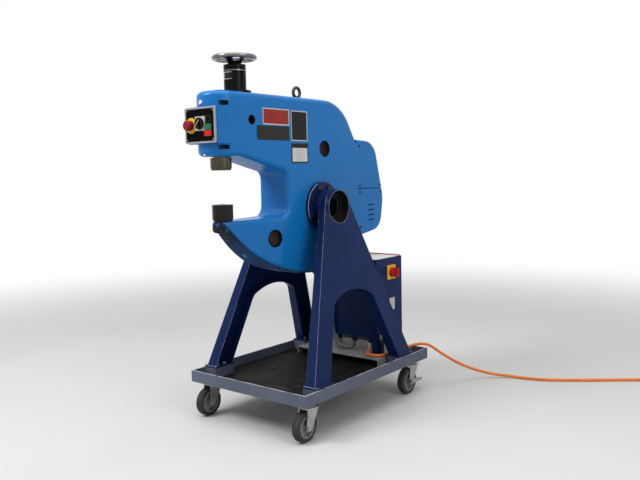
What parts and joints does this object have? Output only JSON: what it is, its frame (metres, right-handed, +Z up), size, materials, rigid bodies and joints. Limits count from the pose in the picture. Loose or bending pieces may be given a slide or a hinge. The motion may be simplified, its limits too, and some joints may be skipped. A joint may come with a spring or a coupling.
{
  "type": "sheet metal forming machine",
  "caption": "Power forming machine: cast C-frame with driven ram, handwheel and control panel, tilting on trunnions between two stands on a wheeled cart with electric cabinet and mains lead.",
  "frame": {"origin": "on the floor, under the middle of the machine's box without its mains lead", "axes": "+Z up, +Y towards the rear (motor cover and cabinet), +X to the right side seen from the tools"},
  "size_m": [1.7219, 2.043, 1.533],
  "materials": {
    "blue_paint": "gloss sky-blue machine enamel",
    "navy_paint": "satin dark-blue enamel",
    "grey_paint": "satin blue-grey paint",
    "tray_black": "scuffed black sheet",
    "zinc": "zinc-plated pressings",
    "hub_grey": "moulded wheel centre",
    "tyre": "solid rubber tread",
    "machined_steel": "oiled machined steel",
    "dark_steel": "blackened steel",
    "polished_steel": "polished rim",
    "bronze": "plain bearing bronze",
    "motor_iron": "painted cast housing",
    "rubber": "matt rubber",
    "grey_plastic": "moulded panel frame",
    "black_plastic": "black moulding",
    "yellow_plastic": "yellow moulding",
    "red_plastic": "red moulding",
    "green_plastic": "green moulding",
    "switchgear": "device housings on a plate",
    "orange_cord": "orange cable sheath"
  },
  "bodies": {
    "cart": {"cart_frame": "grey_paint", "tray_sheet": "tray_black", "cabinet_shelf": "grey_paint", "right_stand": "navy_paint", "left_stand": "navy_paint", "cart_bolts": "zinc", "trunnion_bushes": "bronze", "caster_plates": "zinc", "cabinet_box": "navy_paint", "cabinet_feet": "navy_paint", "switchgear": "switchgear", "switch_plate": "yellow_plastic", "cable_glands": "black_plastic", "control_conduit": "rubber", "mains_cord": "orange_cord", "cord_coil": "orange_cord", "plug": "black_plastic"},
    "door": {"cabinet_door": "navy_paint"},
    "main_switch": {"switch_knob": "red_plastic"},
    "head": {"c_frame": "blue_paint", "trunnions": "machined_steel", "trunnion_bolts": "dark_steel", "rear_cover_upper": "blue_paint", "rear_cover_lower": "blue_paint", "motor_body": "motor_iron", "drive_belt": "rubber", "eccentric_bearings": "machined_steel", "column": "dark_steel", "eyebolt": "dark_steel", "ram_guide": "bronze", "lower_tool_holder": "machined_steel", "panel_housing": "grey_plastic", "panel_plate": "black_plastic", "control_plates": "yellow_plastic"},
    "estop": {"estop_button": "red_plastic"},
    "selector": {"selector_knob": "black_plastic"},
    "green_push": {"green_button": "green_plastic"},
    "red_push": {"red_button": "red_plastic"},
    "adjuster": {"handwheel": "polished_steel", "spindle": "machined_steel"},
    "fulcrum": {"fulcrum_block": "machined_steel"},
    "rocker": {"rocker_lever": "machined_steel"},
    "ram": {"ram": "machined_steel", "upper_tool_holder": "machined_steel"},
    "eccentric": {"eccentric_shaft": "machined_steel"},
    "rotor": {"motor_shaft": "machined_steel"},
    "front_left_caster": {"front_left_fork": "zinc"},
    "front_left_wheel": {"front_left_wheel_hub": "hub_grey", "front_left_tyre": "tyre"},
    "front_right_caster": {"front_right_fork": "zinc"},
    "front_right_wheel": {"front_right_wheel_hub": "hub_grey", "front_right_tyre": "tyre"},
    "rear_left_caster": {"rear_left_fork": "zinc"},
    "rear_left_wheel": {"rear_left_wheel_hub": "hub_grey", "rear_left_tyre": "tyre"},
    "rear_left_pedal": {"rear_left_brake_pedal": "zinc"},
    "rear_right_caster": {"rear_right_fork": "zinc"},
    "rear_right_wheel": {"rear_right_wheel_hub": "hub_grey", "rear_right_tyre": "tyre"},
    "rear_right_pedal": {"rear_right_brake_pedal": "zinc"}
  },
  "joints": [
    {"name": "tilt", "type": "hinge", "parent": "cart", "child": "head", "pos_m": [0, 0.07165, 0.915], "axis": [1, 0, 0], "range_deg": [-12, 75]},
    {"name": "handwheel_turn", "type": "hinge", "parent": "head", "child": "adjuster", "pos_m": [0, -0.34935, 1.277], "axis": [0, 0, 1], "range_deg": [0, 864]},
    {"name": "fulcrum_slide", "type": "slide", "parent": "head", "child": "fulcrum", "axis": [0, 0, 1], "range_m": [-0.012, 0]},
    {"name": "rocker_swing", "type": "hinge", "parent": "fulcrum", "child": "rocker", "pos_m": [0, -0.34935, 1.277], "axis": [1, 0, 0], "range_deg": [-1.5, 1.5]},
    {"name": "ram_slide", "type": "slide", "parent": "fulcrum", "child": "ram", "axis": [0, 0, 1], "range_m": [-0.0025, 0.0025]},
    {"name": "eccentric_spin", "type": "hinge", "parent": "head", "child": "eccentric", "pos_m": [0, 0.10765, 1.168], "axis": [1, 0, 0], "continuous": true},
    {"name": "motor_spin", "type": "hinge", "parent": "head", "child": "rotor", "pos_m": [0.04, 0.45265, 0.905], "axis": [1, 0, 0], "continuous": true},
    {"name": "estop_press", "type": "slide", "parent": "head", "child": "estop", "axis": [0, 1, 0], "range_m": [0, 0.006], "stiffness_N_per_m": 600},
    {"name": "selector_turn", "type": "hinge", "parent": "head", "child": "selector", "pos_m": [0.004, -0.54835, 1.259], "axis": [0, 1, 0], "range_deg": [-45, 45]},
    {"name": "green_press", "type": "slide", "parent": "head", "child": "green_push", "axis": [0, 1, 0], "range_m": [0, 0.004], "stiffness_N_per_m": 400},
    {"name": "red_press", "type": "slide", "parent": "head", "child": "red_push", "axis": [0, 1, 0], "range_m": [0, 0.004], "stiffness_N_per_m": 400},
    {"name": "door_swing", "type": "hinge", "parent": "cart", "child": "door", "pos_m": [-0.195, 0.56445, 0.46], "axis": [0, 0, 1], "range_deg": [0, 110]},
    {"name": "main_switch_turn", "type": "hinge", "parent": "cart", "child": "main_switch", "pos_m": [0.194, 0.47115, 0.58], "axis": [1, 0, 0], "range_deg": [0, 90]},
    {"name": "front_left_swivel", "type": "hinge", "parent": "cart", "child": "front_left_caster", "pos_m": [-0.278, -0.27235, 0.13], "axis": [0, 0, 1], "continuous": true},
    {"name": "front_left_roll", "type": "hinge", "parent": "front_left_caster", "child": "front_left_wheel", "pos_m": [-0.278, -0.30235, 0.0625], "axis": [1, 0, 0], "continuous": true},
    {"name": "front_right_swivel", "type": "hinge", "parent": "cart", "child": "front_right_caster", "pos_m": [0.278, -0.27235, 0.13], "axis": [0, 0, 1], "continuous": true},
    {"name": "front_right_roll", "type": "hinge", "parent": "front_right_caster", "child": "front_right_wheel", "pos_m": [0.278, -0.30235, 0.0625], "axis": [1, 0, 0], "continuous": true},
    {"name": "rear_left_swivel", "type": "hinge", "parent": "cart", "child": "rear_left_caster", "pos_m": [-0.278, 0.49265, 0.13], "axis": [0, 0, 1], "continuous": true},
    {"name": "rear_left_roll", "type": "hinge", "parent": "rear_left_caster", "child": "rear_left_wheel", "pos_m": [-0.278, 0.46265, 0.0625], "axis": [1, 0, 0], "continuous": true},
    {"name": "rear_left_brake", "type": "hinge", "parent": "rear_left_caster", "child": "rear_left_pedal", "pos_m": [-0.278, 0.46265, 0.0625], "axis": [-1, 0, 0], "range_deg": [0, 12]},
    {"name": "rear_right_swivel", "type": "hinge", "parent": "cart", "child": "rear_right_caster", "pos_m": [0.278, 0.49265, 0.13], "axis": [0, 0, 1], "continuous": true},
    {"name": "rear_right_roll", "type": "hinge", "parent": "rear_right_caster", "child": "rear_right_wheel", "pos_m": [0.278, 0.46265, 0.0625], "axis": [1, 0, 0], "continuous": true},
    {"name": "rear_right_brake", "type": "hinge", "parent": "rear_right_caster", "child": "rear_right_pedal", "pos_m": [0.278, 0.46265, 0.0625], "axis": [-1, 0, 0], "range_deg": [0, 12]}
  ],
  "couplings": [
    {"joint": "fulcrum_slide", "follows": "handwheel_turn", "m_per_rad": -0.00079577},
    {"joint": "ram_slide", "follows": "rocker_swing", "m_per_rad": -0.092},
    {"joint": "motor_spin", "follows": "eccentric_spin", "ratio": 2.0238}
  ]
}
